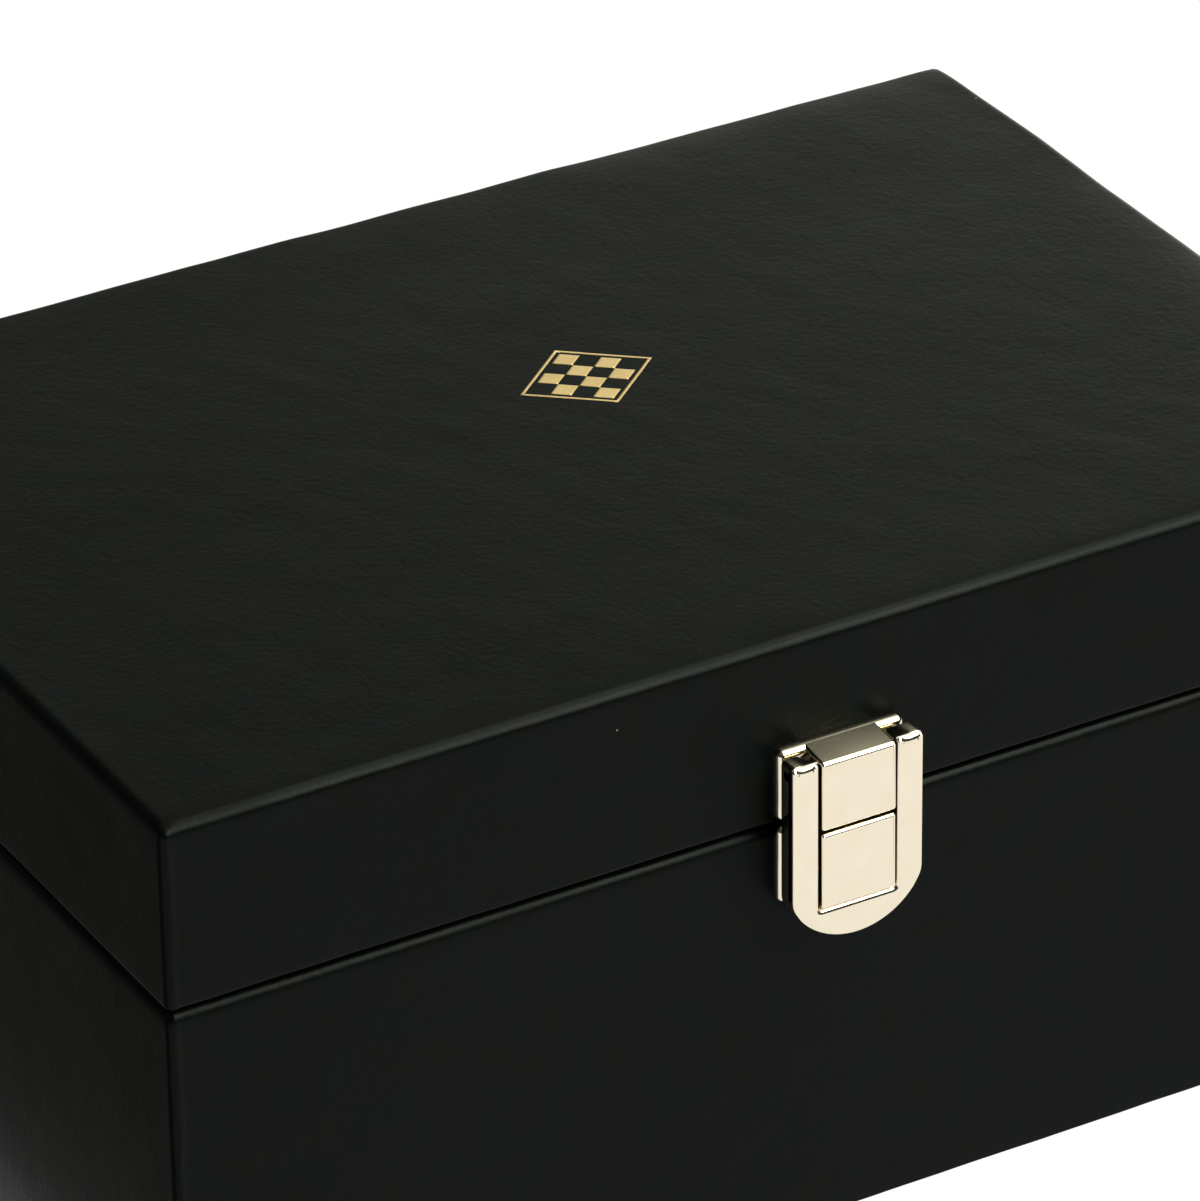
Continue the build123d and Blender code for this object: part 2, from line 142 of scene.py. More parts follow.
world = bpy.data.worlds.new("studio")
scene.world = world
world.use_nodes = True
sky = world.node_tree
sky.nodes.clear()
path = add(sky, "ShaderNodeLightPath")
direction = add(sky, "ShaderNodeTexCoord").outputs["Generated"]
height = add(sky, "ShaderNodeSeparateXYZ", {0: direction}).outputs["Z"]
room = add(sky, "ShaderNodeValToRGB", {"Fac": height})
set_stops(room, ROOM_STOPS)
lit = add(sky, "ShaderNodeBackground", {"Color": room, "Strength": 1.0})
seen = add(sky, "ShaderNodeBackground", {"Color": WHITE, "Strength": 1.0})
both = add(sky, "ShaderNodeMixShader", {0: path.outputs["Is Camera Ray"], 1: lit, 2: seen})
add(sky, "ShaderNodeOutputWorld", {"Surface": both})


def floor_material():
    """White laminate, whose white shows full to the eye and in metal, and keeps a shadow."""
    material, tree, _ = new_material("white_table")
    rays = add(tree, "ShaderNodeLightPath")
    shown = add(tree, "ShaderNodeMath",
                {0: rays.outputs["Is Camera Ray"], 1: rays.outputs["Is Glossy Ray"]},
                operation="MAXIMUM")
    part = add(tree, "ShaderNodeMath", {0: shown, 1: FLOOR_WHITE_SHARE}, operation="MULTIPLY")
    matt = add(tree, "ShaderNodeBsdfDiffuse", {"Color": grey(FLOOR_ALBEDO)})
    white = add(tree, "ShaderNodeEmission", {"Color": WHITE, "Strength": FLOOR_WHITE})
    mixed = add(tree, "ShaderNodeMixShader", {0: part, 1: matt, 2: white})
    add(tree, "ShaderNodeOutputMaterial", {"Surface": mixed})
    return material


def glow_along(name, axis, limits, most, stops):
    """A glowing sheet whose brightness runs along one axis through stops, each a share of the
    way between the limits and a share of the most."""
    material, tree, place = new_material(name)
    axes = add(tree, "ShaderNodeSeparateXYZ", {0: place})
    way = add(tree, "ShaderNodeMapRange", {0: axes.outputs[axis], 1: limits[0], 2: limits[1]})
    levels = add(tree, "ShaderNodeValToRGB", {"Fac": way})
    set_stops(levels, stops)
    level = add(tree, "ShaderNodeMath", {0: levels, 1: most}, operation="MULTIPLY")
    glow = add(tree, "ShaderNodeEmission", {"Color": (*LAMP_COLOUR, 1.0), "Strength": level})
    add(tree, "ShaderNodeOutputMaterial", {"Surface": glow})
    return material


def lit_backdrop():
    """White paper lit from below right. Its glow is even up to a height, and above that it
    fades as a bell curve. Across, it grows as an exponential to the right, up to a most."""
    material, tree, place = new_material("lit_backdrop")
    axes = add(tree, "ShaderNodeSeparateXYZ", {0: place})
    above = add(tree, "ShaderNodeMath", {0: axes.outputs["Z"], 1: BACKDROP_BRIGHT_TOP},
                operation="SUBTRACT")
    rise = add(tree, "ShaderNodeMath", {0: above, 1: 0.0}, operation="MAXIMUM")
    squared = add(tree, "ShaderNodeMath", {0: rise, 1: rise}, operation="MULTIPLY")
    across = add(tree, "ShaderNodeMath", {0: axes.outputs["X"], 1: 1 / BACKDROP_SPREAD},
                 operation="MULTIPLY")
    exponent = add(tree, "ShaderNodeMath",
                   {0: squared, 1: -1 / (2 * BACKDROP_FADE ** 2), 2: across},
                   operation="MULTIPLY_ADD")
    shape = add(tree, "ShaderNodeMath", {0: math.e, 1: exponent}, operation="POWER")
    level = add(tree, "ShaderNodeMath", {0: shape, 1: BACKDROP_GLOW}, operation="MULTIPLY")
    capped = add(tree, "ShaderNodeMath", {0: level, 1: BACKDROP_MOST}, operation="MINIMUM")
    paper = add(tree, "ShaderNodeEmission", {"Color": (*LAMP_COLOUR, 1.0), "Strength": capped})
    add(tree, "ShaderNodeOutputMaterial", {"Surface": paper})
    return material


def level_corners(across, along, z):
    """The corners of a level sheet, from its limits in X and in Y and its height."""
    return [(across[0], along[0], z), (across[1], along[0], z),
            (across[1], along[1], z), (across[0], along[1], z)]


def stage_sheet(name, corners, material, seen=False):
    """A flat sheet that belongs to the stage. A light or card is kept out of the picture, and
    throws no shadow."""
    mesh = bpy.data.meshes.new(name)
    mesh.from_pydata(corners, [], [(0, 1, 2, 3)])
    mesh.materials.append(material)
    made = bpy.data.objects.new(name, mesh)
    scene.collection.objects.link(made)
    made.visible_camera = seen
    made.visible_shadow = seen


stage_sheet("table_top", level_corners(FLOOR_SIDE, FLOOR_SIDE, 0), floor_material(), seen=True)
# The card at the left glows dimly, more towards the case: painted light standing in for a lit grey
# card.
stage_sheet("left_glowing_card", level_corners(CARD_X, CARD_Y, CARD_HEIGHT),
            glow_along("glowing_grey_card", "X", CARD_X, CARD_MOST, CARD_STOPS))
stage_sheet("softbox", level_corners(SOFTBOX_X, SOFTBOX_Y, SOFTBOX_HEIGHT),
            glow_along("softbox_cloth", "Y", SOFTBOX_Y, SOFTBOX_MOST, SOFTBOX_STOPS))
stage_sheet("backdrop",
            [(BACKDROP_X[0], BACKDROP_Y, 0), (BACKDROP_X[1], BACKDROP_Y, 0),
             (BACKDROP_X[1], BACKDROP_Y, BACKDROP_TOP), (BACKDROP_X[0], BACKDROP_Y, BACKDROP_TOP)],
            lit_backdrop())

light = bpy.data.lights.new("front_panel", "AREA")
light.shape = "RECTANGLE"
light.size = PANEL_WIDTH
light.size_y = PANEL_LENGTH
light.color = LAMP_COLOUR
light.energy = PANEL_RADIANCE * math.pi * PANEL_WIDTH * PANEL_LENGTH
panel = bpy.data.objects.new("front_panel", light)
scene.collection.objects.link(panel)
behind = (PANEL_PLACE - PANEL_TARGET).normalized()
lengthwise = (PANEL_ALONG - PANEL_ALONG.dot(behind) * behind).normalized()
sideways = lengthwise.cross(behind)
turn = Matrix((sideways, lengthwise, behind)).transposed().to_4x4()
panel.matrix_world = Matrix.Translation(PANEL_PLACE) @ turn
panel.visible_camera = False


# The camera
# A long lens, as in a catalogue: the view was worked out from the case's straight edges, in
# heights of the case, and crops the case's left and front corners.
CASE_HEIGHT = 0.136
VIEW_AZIMUTH = math.radians(-29.664)
VIEW_ELEVATION = math.radians(29.845)
VIEW_ROLL = math.radians(-0.771)
VIEW_RIGHT = 0.018182
VIEW_UP = 0.589078
VIEW_DISTANCE = 12.817293
IMAGE_HEIGHT_PX = 1201
FOCAL_PX = 8286.4
SENSOR_MM = 36.0

forward = Vector((-math.sin(VIEW_AZIMUTH) * math.cos(VIEW_ELEVATION),
                  math.cos(VIEW_AZIMUTH) * math.cos(VIEW_ELEVATION), -math.sin(VIEW_ELEVATION)))
level_right = forward.cross(Vector((0, 0, 1))).normalized()
level_up = level_right.cross(forward)
right = math.cos(VIEW_ROLL) * level_right + math.sin(VIEW_ROLL) * level_up
up = -math.sin(VIEW_ROLL) * level_right + math.cos(VIEW_ROLL) * level_up
eye = CASE_HEIGHT * (VIEW_RIGHT * right + VIEW_UP * up - VIEW_DISTANCE * forward)
lens = bpy.data.cameras.new("camera")
lens.sensor_fit = "VERTICAL"
lens.sensor_height = SENSOR_MM
lens.lens = SENSOR_MM * FOCAL_PX / IMAGE_HEIGHT_PX
lens.clip_end = 20.0
camera = bpy.data.objects.new("camera", lens)
scene.collection.objects.link(camera)
camera.matrix_world = Matrix((
    (right.x, up.x, -forward.x, eye.x),
    (right.y, up.y, -forward.y, eye.y),
    (right.z, up.z, -forward.z, eye.z),
    (0, 0, 0, 1)))
scene.camera = camera


# The boards
# Ten panels of medium-density fibreboard, glued edge to edge. All that shows of them is a
# fine flecked brown, and the finished case hides it.
def fibreboard():
    """Medium-density fibreboard: matt, with wood flecks about 1 mm long."""
    material, tree, place = new_material("fibreboard")
    flecks = add(tree, "ShaderNodeTexNoise", {"Vector": place, "Scale": 1 / (1.0 * MM),
                                              "Detail": 4.0})
    share = add(tree, "ShaderNodeMapRange", {0: flecks, 1: 0.35, 2: 0.65})
    colour = add(tree, "ShaderNodeMix", {0: share, 6: "9A7A55", 7: "B8966C"}, data_type="RGBA")
    bump = add(tree, "ShaderNodeBump", {"Height": flecks, "Strength": 0.6, "Distance": 0.05 * MM})
    shader = add(tree, "ShaderNodeBsdfPrincipled",
                 {"Base Color": colour, "Roughness": 0.85, "Normal": bump})
    add(tree, "ShaderNodeOutputMaterial", {"Surface": shader})
    return material


def dress(names, material):
    """Give CAD pieces their finish."""
    for name in names:
        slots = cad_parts[name].data.materials
        slots.clear()
        slots.append(material)


dress([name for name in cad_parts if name.endswith("_board") and name != "tray_floor_board"],
      fibreboard())


# The coverings
# Black leatherette, a sheet of pebbled PVC on cloth 0.8 mm thick. One sheet is glued round
# the base, over its rim and under its bottom, and one over the lid and round its rim.
CORNER_RADIUS = 1.8 * MM
SKIN = 0.8 * MM
LID_EDGE = 2.4 * MM
LID_TOP_CORNER = 3.4 * MM
RIM_EDGE = 2.6 * MM
RIM_FALL = 0.5 * MM
BOARD_ROUND = 1.2 * MM
LID_RIM_EDGE = 1.0 * MM
FOOT_EDGE = 0.4 * MM
INNER_EDGE = 0.5 * MM
WALL = 7.8 * MM
TURN_UNDER = 14.0 * MM
LAP_INSET = 2.3 * MM
LAP_STEP = 0.2 * MM
SIDE_STEPS = 130
END_STEPS = 90
ARC_STEPS = 8


def leatherette():
    """Pebbled black PVC: cells of 1 mm with fine creases between them, a broad soft sheen
    that varies over a few centimetres, and a few specks of dust."""
    material, tree, place = new_material("black_leatherette")
    warp = add(tree, "ShaderNodeTexNoise", {"Vector": place, "Scale": 1 / (3.0 * MM),
                                            "Detail": 3.0})
    bent = add(tree, "ShaderNodeVectorMath",
               {0: warp.outputs["Color"], 1: (0.9 * MM,) * 3}, operation="MULTIPLY")
    moved = add(tree, "ShaderNodeVectorMath", {0: place, 1: bent}, operation="ADD")
    pebble = add(tree, "ShaderNodeTexVoronoi",
                 {"Vector": moved, "Scale": 1 / (1.1 * MM)}, feature="SMOOTH_F1")
    crease = add(tree, "ShaderNodeTexNoise",
                 {"Vector": moved, "Scale": 1 / (4.5 * MM), "Detail": 6.0, "Roughness": 0.62})
    patch = add(tree, "ShaderNodeTexNoise", {"Vector": place, "Scale": 1 / (38.0 * MM),
                                             "Detail": 3.0})
    sheen = add(tree, "ShaderNodeMapRange", {0: patch, 1: 0.3, 2: 0.7})
    mottle = add(tree, "ShaderNodeTexNoise", {"Vector": place, "Scale": 1 / (9.0 * MM),
                                              "Detail": 5.0, "Roughness": 0.6})
    tone = add(tree, "ShaderNodeMapRange", {0: mottle, 1: 0.3, 2: 0.7})
    clean = add(tree, "ShaderNodeMix", {0: tone, 6: "080604", 7: "020808"}, data_type="RGBA")
    speck = add(tree, "ShaderNodeTexVoronoi", {"Vector": place, "Scale": 1 / (26.0 * MM)})
    dusty = add(tree, "ShaderNodeMapRange", {0: speck, 1: 0.010, 2: 0.006})
    colour = add(tree, "ShaderNodeMix", {0: dusty, 6: clean, 7: "7C7C70"}, data_type="RGBA")
    rough = add(tree, "ShaderNodeMapRange", {0: sheen, 3: 0.41, 4: 0.33})
    fine = add(tree, "ShaderNodeBump", {"Height": pebble, "Strength": 0.4, "Distance": -0.09 * MM})
    folds = add(tree, "ShaderNodeBump",
                {"Height": crease, "Strength": 0.5, "Distance": 0.15 * MM, "Normal": fine})
    shader = add(tree, "ShaderNodeBsdfPrincipled",
                 {"Base Color": colour, "Roughness": rough, "Specular IOR Level": 0.07,
                  "Specular Tint": (0.92, 1.0, 0.95, 1.0), "Normal": folds})
    add(tree, "ShaderNodeOutputMaterial", {"Surface": shader})
    return material


def side_spacing(steps):
    """Places along a side from -1 to 1: close together at the corners, wide in the middle."""
    s = np.linspace(-1, 1, steps + 1)
    return 0.25 * s + 0.75 * np.sin(s * math.pi / 2)


def ring(inset, half_x, half_y, radius):
    """A rounded rectangle drawn in by an inset, run anticlockwise from the front left. Each
    side is a straight run and each corner a quarter circle of the radius. Returns the points
    and the directions that face outwards from them."""
    hx = half_x - inset
    hy = half_y - inset
    r = min(radius, hx, hy)
    points = []
    outward = []
    quarter = np.linspace(0, math.pi / 2, ARC_STEPS + 1)[1:-1]
    for k, steps in enumerate((SIDE_STEPS, END_STEPS, SIDE_STEPS, END_STEPS)):
        along = hx if k % 2 == 0 else hy
        away = hy if k % 2 == 0 else hx
        turn = k * math.pi / 2
        t = side_spacing(steps) * (along - r)
        straight = np.stack([t, np.full_like(t, -away)], 1)
        facing = np.tile([0.0, -1.0], (len(t), 1))
        bend = np.stack([along - r + r * np.sin(quarter), -away + r - r * np.cos(quarter)], 1)
        bend_facing = np.stack([np.sin(quarter), -np.cos(quarter)], 1)
        spin = np.array([[math.cos(turn), math.sin(turn)], [-math.sin(turn), math.cos(turn)]])
        points.append(np.concatenate([straight, bend]) @ spin)
        outward.append(np.concatenate([facing, bend_facing]) @ spin)
    return np.concatenate(points), np.concatenate(outward)


def sweep(profile, half_x, half_y, corner, least=0.0):
    """Carry a profile round a rounded rectangle. A profile row is its inset, its height, and
    the level and upright parts of the direction it faces. A corner's radius shrinks with the
    inset, down to the least radius, of which there is one or one for each row. Returns points
    and directions as arrays of profile row, place along the ring, and X, Y, Z."""
    radii = np.maximum(corner - profile[:, 0], least)
    rows = [ring(row[0], half_x, half_y, radius) for row, radius in zip(profile, radii)]
    flat = np.stack([row[0] for row in rows])
    facing = np.stack([row[1] for row in rows])
    high = np.broadcast_to(profile[:, 1, None, None], flat.shape[:2] + (1,))
    level = facing * profile[:, 2, None, None]
    upright = np.broadcast_to(profile[:, 3, None, None], flat.shape[:2] + (1,))
    return np.concatenate([flat, high], 2), np.concatenate([level, upright], 2)


def quads(rows, columns, closed_rows):
    """Faces of a grid whose columns always join up, and whose rows do if closed."""
    i = np.arange(rows if closed_rows else rows - 1)[:, None]
    j = np.arange(columns)[None, :]
    a = i * columns + j
    b = i * columns + (j + 1) % columns
    step = (i + 1) % rows * columns
    c = step + (j + 1) % columns
    d = step + j
    return np.stack([a, b, c, d], 2).reshape(-1, 4)


def bend_profile(inset, height, radius, start, end, steps):
    """Profile rows round an arc: its centre, its radius, and its first and last angle, where
    0 degrees faces outwards and 90 faces up."""
    angle = np.radians(np.linspace(start, end, steps + 1))
    return np.stack([inset - radius * np.cos(angle), height + radius * np.sin(angle),
                     np.cos(angle), np.sin(angle)], 1)


def run_profile(inset0, height0, inset1, height1, level, upright, steps):
    """Profile rows along a straight run, without its two ends."""
    t = np.linspace(0, 1, steps + 1)[1:-1]
    return np.stack([inset0 + t * (inset1 - inset0), height0 + t * (height1 - height0),
                     np.full_like(t, level), np.full_like(t, upright)], 1)


def waves(points, wavelength, seed, count=24):
    """Smooth unevenness of about -1 to 1: the mean of many sine waves that run in directions
    drawn from a seed, with wavelengths up to a third off the one given."""
    draw = np.random.default_rng(seed)
    heading = draw.normal(size=(count, 3))
    heading /= np.linalg.norm(heading, axis=1, keepdims=True)
    number = 2 * math.pi / (wavelength * draw.uniform(0.67, 1.33, count))
    phase = draw.uniform(0, 2 * math.pi, count)
    total = np.zeros(points.shape[:-1])
    for k in range(count):
        total += np.sin(points @ (heading[k] * number[k]) + phase[k])
    return total / math.sqrt(count)


def piece(name, points, faces, material, body, slot, *nodes):
    """Make a closed mesh from points and faces, with its doubles joined, its faces turned
    outwards and its flat caps kept flat, and let it ride on a body in place of CAD nodes."""
    mesh = bpy.data.meshes.new(name)
    mesh.from_pydata(np.asarray(points).reshape(-1, 3).tolist(), [],
                     faces if isinstance(faces, list) else faces.tolist())
    work = bmesh.new()
    work.from_mesh(mesh)
    bmesh.ops.remove_doubles(work, verts=work.verts, dist=0.004 * MM)
    bmesh.ops.dissolve_degenerate(work, edges=work.edges, dist=0.002 * MM)
    bmesh.ops.recalc_face_normals(work, faces=work.faces)
    work.to_mesh(mesh)
    work.free()
    mesh.polygons.foreach_set("use_smooth", [len(f.vertices) <= 4 for f in mesh.polygons])
    mesh.materials.append(material)
    made = bpy.data.objects.new(name, mesh)
    scene.collection.objects.link(made)
    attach(made, body)
    if nodes:
        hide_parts(*nodes)
    return made


skin = leatherette()
base_low, base_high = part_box("base_leatherette")
lid_low, lid_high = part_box("lid_leatherette")
half_x = lid_high.x
half_y = lid_high.y


def base_profile():
    """The base sheet's section in two parts: outside, from its edge under the bottom, up the
    wall and over the rim, and inside, back down against the boards."""
    z0 = base_low.z
    z1 = base_high.z
    outer = np.concatenate([
        [(TURN_UNDER, z0, 0, -1)],
        run_profile(TURN_UNDER, z0, FOOT_EDGE, z0, 0, -1, 6),
        bend_profile(FOOT_EDGE, z0 + FOOT_EDGE, FOOT_EDGE, -90, 0, 6),
        run_profile(0, z0 + FOOT_EDGE, 0, z1 - RIM_FALL - RIM_EDGE, 1, 0, 34),
        bend_profile(RIM_EDGE, z1 - RIM_FALL - RIM_EDGE, RIM_EDGE, 0, 90, 8),
        run_profile(RIM_EDGE, z1 - RIM_FALL, WALL - INNER_EDGE, z1, 0, 1, 4),
    ])
    inner = np.concatenate([
        bend_profile(WALL - INNER_EDGE, z1 - INNER_EDGE, INNER_EDGE, 90, 180, 4),
        [(WALL, z1 - SKIN, -1, 0)],
        bend_profile(SKIN + BOARD_ROUND, z1 - SKIN - BOARD_ROUND, BOARD_ROUND, 90, 0, 4),
        run_profile(SKIN, z1 - SKIN - BOARD_ROUND, SKIN, z0 + SKIN, -1, 0, 4),
        [(SKIN, z0 + SKIN, -1, 0)],
        [(TURN_UNDER, z0 + SKIN, 0, 1)],
    ])
    return outer, inner


def skin_unevenness(points, seed):
    """How far glued leatherette stands off its boards: broad waves of a twentieth of a
    millimetre and shorter ones of half that."""
    return 0.05 * MM * waves(points, 60 * MM, seed) + 0.025 * MM * waves(points, 14 * MM, seed + 1)


def wrap_edge(points, facing, seed):
    """A step where the sheet's ends lap on the front and back, near a corner, along an edge
    that wanders a little with the height."""
    edge = half_x - LAP_INSET + 0.35 * MM * waves(points * [0, 0, 1], 16 * MM, seed)
    over = np.clip((np.abs(points[..., 0]) - edge) / (0.5 * MM), 0, 1)
    return LAP_STEP * over * np.clip(np.abs(facing[..., 1]), 0, 1)


def swollen(points, facing, swell, outer, inner):
    """The points with those of the sheet's outside moved out by the swell."""
    outside = np.repeat([1, 0], [len(outer), len(inner)])[:, None]
    return points + facing * (swell * outside)[..., None]


outer, inner = base_profile()
points, facing = sweep(np.concatenate([outer, inner]), half_x, half_y, CORNER_RADIUS)
swell = skin_unevenness(points, 11) + wrap_edge(points, facing, 5)
points = swollen(points, facing, swell, outer, inner)
piece("base_covering", points, quads(*points.shape[:2], True), skin,
      "base", "leatherette", "base_leatherette")


EDGE_BAND = 12 * MM
FOAM_BAND = 24 * MM
DRAWN = 1.3 * MM
DRAWN_BACK_X = (-49 * MM, 138 * MM)
DRAWN_RIGHT_Y = (54 * MM, -14 * MM)
DRAWN_REACH = 5 * MM
DRAWN_FRONT_SHARE = 0.35
DRAWN_FRONT_REACH = 3 * MM
PUCKER = 0.25 * MM
PUCKER_HEIGHT = 119 * MM
PUCKER_HALF_WIDTH = 13 * MM
PUCKER_HALF_HEIGHT = 4.5 * MM


def lid_profile():
    """The lid sheet's section in two parts: outside, from the middle of the top, out and down
    the wall and round the rim, and inside, back up against the boards and over the foam."""
    z0 = lid_low.z
    z1 = lid_high.z
    outer = np.concatenate([
        [(half_y, z1, 0, 1)],
        run_profile(half_y, z1, EDGE_BAND, z1, 0, 1, 32),
        run_profile(EDGE_BAND, z1, LID_EDGE, z1, 0, 1, 12),
        bend_profile(LID_EDGE, z1 - LID_EDGE, LID_EDGE, 90, 0, 10),
        run_profile(0, z1 - LID_EDGE, 0, z0 + LID_RIM_EDGE, 1, 0, 22),
        bend_profile(LID_RIM_EDGE, z0 + LID_RIM_EDGE, LID_RIM_EDGE, 0, -90, 6),
    ])
    inner = np.concatenate([
        run_profile(LID_RIM_EDGE, z0, WALL, z0, 0, -1, 4),
        [(WALL, z0, 0, -1)],
        [(WALL, z0 + SKIN, -1, 0)],
        [(SKIN, z0 + SKIN, -1, 0)],
        [(SKIN, z1 - LID_EDGE, -1, 0)],
        bend_profile(LID_EDGE, z1 - LID_EDGE, LID_EDGE - SKIN, 0, 90, 6) * [1, 1, -1, -1],
        run_profile(LID_EDGE, z1 - SKIN, FOAM_BAND, z1 - SKIN, 0, -1, 12),
        [(FOAM_BAND, z1 - SKIN, 0, -1)],
        [(half_y, z1 - SKIN, 0, -1)],
    ])
    return outer, inner


def drawn_down(points):
    """How far the covering was drawn down over the foam: along the back edge by more towards
    the right, along the right edge by more towards the front, and along the front edge by a
    little, falling off from each edge as an exponential."""
    x, y = points[..., 0], points[..., 1]
    along_back = np.clip((x - DRAWN_BACK_X[0]) / (DRAWN_BACK_X[1] - DRAWN_BACK_X[0]), 0, 1)
    along_right = np.clip((y - DRAWN_RIGHT_Y[0]) / (DRAWN_RIGHT_Y[1] - DRAWN_RIGHT_Y[0]), 0, 1.2)
    back = along_back * np.exp(-np.maximum(half_y - y, 0) / DRAWN_REACH)
    side = along_right * np.exp(-np.maximum(half_x - x, 0) / DRAWN_REACH)
    front = DRAWN_FRONT_SHARE * np.exp(-np.maximum(half_y + y, 0) / DRAWN_FRONT_REACH)
    return DRAWN * np.maximum(np.maximum(back, side), front)


def lid_swell(points):
    """How far the lid's sheet stands off its form: uneven near the top edges, where it was
    pulled over the foam, and puckered over the catch as a bell curve."""
    x, y, z = points[..., 0], points[..., 1], points[..., 2]
    to_edge = np.minimum(half_x - np.abs(x), half_y - np.abs(y))
    high = np.clip((z - (lid_high.z - 8 * MM)) / (8 * MM), 0, 1)
    ripple = 0.12 * MM * high * np.exp(-to_edge / (7 * MM)) * waves(points, 34 * MM, 23)
    pucker = PUCKER * np.exp(-(x / PUCKER_HALF_WIDTH) ** 2
                             - ((z - PUCKER_HEIGHT) / PUCKER_HALF_HEIGHT) ** 2)
    return skin_unevenness(points, 31) + ripple + pucker * (y < -half_y + 3 * MM)


outer, inner = lid_profile()
profile = np.concatenate([outer, inner])
softened = np.clip((profile[:, 1] - lid_high.z + LID_EDGE) / LID_EDGE, 0, 1) ** 2
points, facing = sweep(profile, half_x, half_y, CORNER_RADIUS, LID_TOP_CORNER * softened)
swell = lid_swell(points) + wrap_edge(points, facing, 7)
upper = np.clip((points[..., 2] - lid_high.z + 2 * LID_EDGE) / (2 * LID_EDGE), 0, 1)
down = upper * drawn_down(points)
points = swollen(points, facing, swell, outer, inner)
points[..., 2] -= down
piece("lid_covering", points, quads(*points.shape[:2], False), skin,
      "lid", "leatherette", "lid_leatherette")


# The foil
# Gold foil hot-stamped into the lid: a chequered lozenge in a thin frame. It lies level with
# the grain, which shows through it a little.
FOIL_STEPS = 10
FOIL_PROUD = 0.04 * MM
FOIL_CELLS = 4
FOIL_BORDER = 0.8 * MM
FOIL_BORDER_GAP = 1.0 * MM
FOIL_CELL_SHARE = 0.97


def gold_foil():
    """Hot-stamped gold foil: warm bright metal, softened by the grain under it."""
    material, tree, place = new_material("gold_foil")
    grain = add(tree, "ShaderNodeTexNoise", {"Vector": place, "Scale": 1 / (0.9 * MM),
                                             "Detail": 3.0})
    wear = add(tree, "ShaderNodeTexNoise", {"Vector": place, "Scale": 1 / (5.0 * MM)})
    colour = add(tree, "ShaderNodeMix", {0: wear, 6: "D9BB80", 7: "EFD29A"}, data_type="RGBA")
    bump = add(tree, "ShaderNodeBump", {"Height": grain, "Strength": 0.5, "Distance": 0.08 * MM})
    shader = add(tree, "ShaderNodeBsdfPrincipled",
                 {"Base Color": colour, "Metallic": 0.75, "Roughness": 0.42, "Normal": bump})
    add(tree, "ShaderNodeOutputMaterial", {"Surface": shader})
    return material


def lozenge_patch(cx, cy, half_w, half_d):
    """A lozenge as a square grid turned onto its corner: the point at (u, v) is the centre
    plus u - v across and u + v - 1 up, in half widths and half depths."""
    s = np.linspace(0, 1, FOIL_STEPS + 1)
    u, v = np.meshgrid(s, s, indexing="ij")
    return np.stack([cx + (u - v) * half_w, cy + (u + v - 1) * half_d], 2)


def border_patches(cx, cy, half_w, half_d, share):
    """The four strips between a lozenge and a smaller one with the same centre."""
    tips = np.array([(half_w, 0), (0, half_d), (-half_w, 0), (0, -half_d)])
    s = np.linspace(0, 1, 2 * FOIL_STEPS + 1)[:, None, None]
    inward = np.linspace(1, share, 3)[None, :, None]
    for k in range(4):
        edge = tips[k] + s * (tips[(k + 1) % 4] - tips[k])
        yield np.array([cx, cy]) + edge * inward


def lay_patch(flat):
    """Lift a flat patch onto the lid and give its points and faces, with a thin underside."""
    rows, columns = flat.shape[:2]
    top = np.concatenate([flat, np.full((rows, columns, 1), lid_high.z)], 2)
    top[..., 2] += lid_swell(top) + FOIL_PROUD
    under = top - [0, 0, 2 * FOIL_PROUD]
    index = np.arange(rows * columns).reshape(rows, columns)
    a, b, c, d = index[:-1, :-1], index[1:, :-1], index[1:, 1:], index[:-1, 1:]
    upper = np.stack([a, b, c, d], 2).reshape(-1, 4)
    lower = upper[:, ::-1] + rows * columns
    rim = np.concatenate([index[:, 0], index[-1, 1:], index[-2::-1, -1], index[0, -2:0:-1]])
    after = np.roll(rim, -1)
    wall = np.stack([rim, after, after + rows * columns, rim + rows * columns], 1)
    return (np.concatenate([top.reshape(-1, 3), under.reshape(-1, 3)]),
            np.concatenate([upper, lower, wall]))


foil_low, foil_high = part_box("lid_foil_lozenge")
foil_x = (foil_low.x + foil_high.x) / 2
foil_y = (foil_low.y + foil_high.y) / 2
foil_w = (foil_high.x - foil_low.x) / 2
foil_d = (foil_high.y - foil_low.y) / 2
slope = foil_d / foil_w
patches = list(border_patches(foil_x, foil_y, foil_w, foil_d, 1 - FOIL_BORDER / foil_d))
cell_w = (foil_w - (FOIL_BORDER + FOIL_BORDER_GAP) / slope) / FOIL_CELLS
cell_d = (foil_d - (FOIL_BORDER + FOIL_BORDER_GAP)) / FOIL_CELLS
for i in range(FOIL_CELLS):
    for j in range(FOIL_CELLS):
        if (i + j) % 2 == 0:
            patches.append(lozenge_patch(foil_x + (i - j) * cell_w,
                                         foil_y + (i + j + 1 - FOIL_CELLS) * cell_d,
                                         FOIL_CELL_SHARE * cell_w, FOIL_CELL_SHARE * cell_d))
laid = [lay_patch(patch) for patch in patches]
starts = np.cumsum([0] + [len(p) for p, _ in laid[:-1]])
piece("foil_lozenge", np.concatenate([p for p, _ in laid]),
      np.concatenate([f + start for (_, f), start in zip(laid, starts)]), gold_foil(),
      "lid", "gold_foil", "lid_foil_lozenge")


